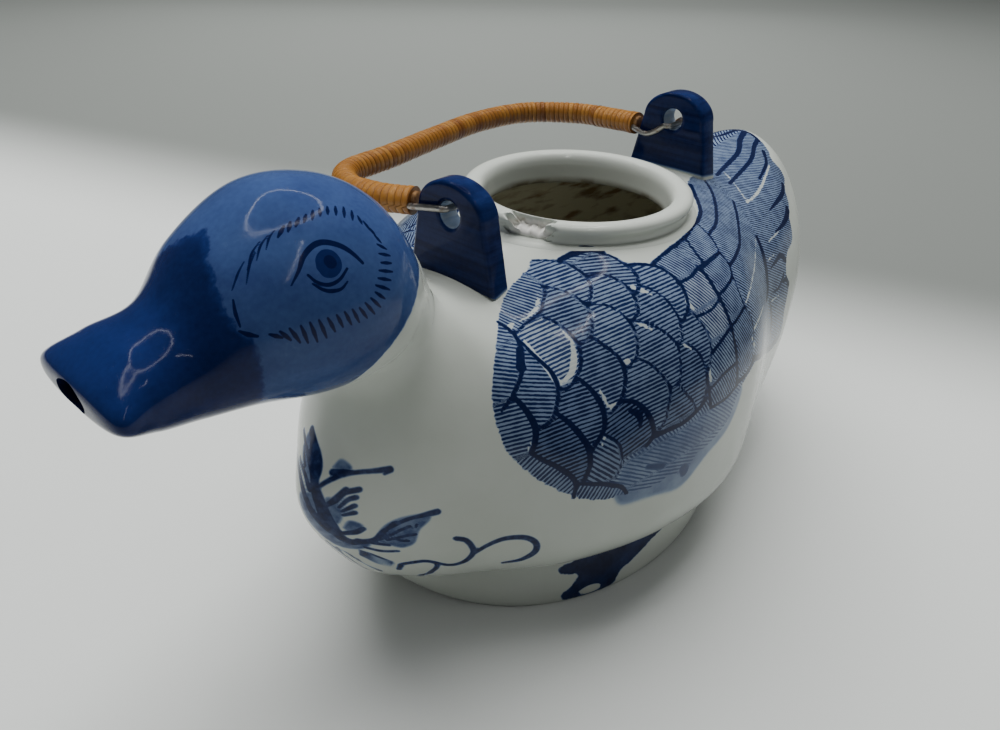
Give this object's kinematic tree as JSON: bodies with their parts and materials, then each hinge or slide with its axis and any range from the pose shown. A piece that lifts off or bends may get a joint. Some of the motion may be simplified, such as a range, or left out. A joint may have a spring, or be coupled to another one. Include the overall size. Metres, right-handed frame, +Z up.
{
  "type": "duck-shaped teapot",
  "caption": "Porcelain teapot shaped as a sitting duck: the bill pours, a collared mouth opens in the back, and a rattan-wrapped bail swings over it on two lugs.",
  "frame": {"origin": "on the table, under the middle of the mouth", "axes": "+Z up, -X to the bill, +X to the tail, -Y to the duck's left wing"},
  "size_m": [0.2795, 0.1336, 0.1368],
  "materials": {
    "white_glaze": "gloss",
    "cobalt_glaze": "gloss",
    "steel_wire": "satin",
    "cane": "satin",
    "rattan": "satin"
  },
  "bodies": {
    "pot": {"body_shell": "white_glaze", "base_plinth": "white_glaze", "collar_ring": "white_glaze", "head_spout": "cobalt_glaze", "front_lug": "cobalt_glaze", "rear_lug": "cobalt_glaze"},
    "handle": {"front_wire_loop": "steel_wire", "rear_wire_loop": "steel_wire", "handle_core": "cane", "handle_wrap": "rattan", "front_end_binding": "rattan", "rear_end_binding": "rattan"}
  },
  "joints": [
    {"name": "handle_swing", "type": "hinge", "parent": "pot", "child": "handle", "pos_m": [0, 0, 0.117], "axis": [1, 0, 0], "range_deg": [0, 185.6]}
  ]
}
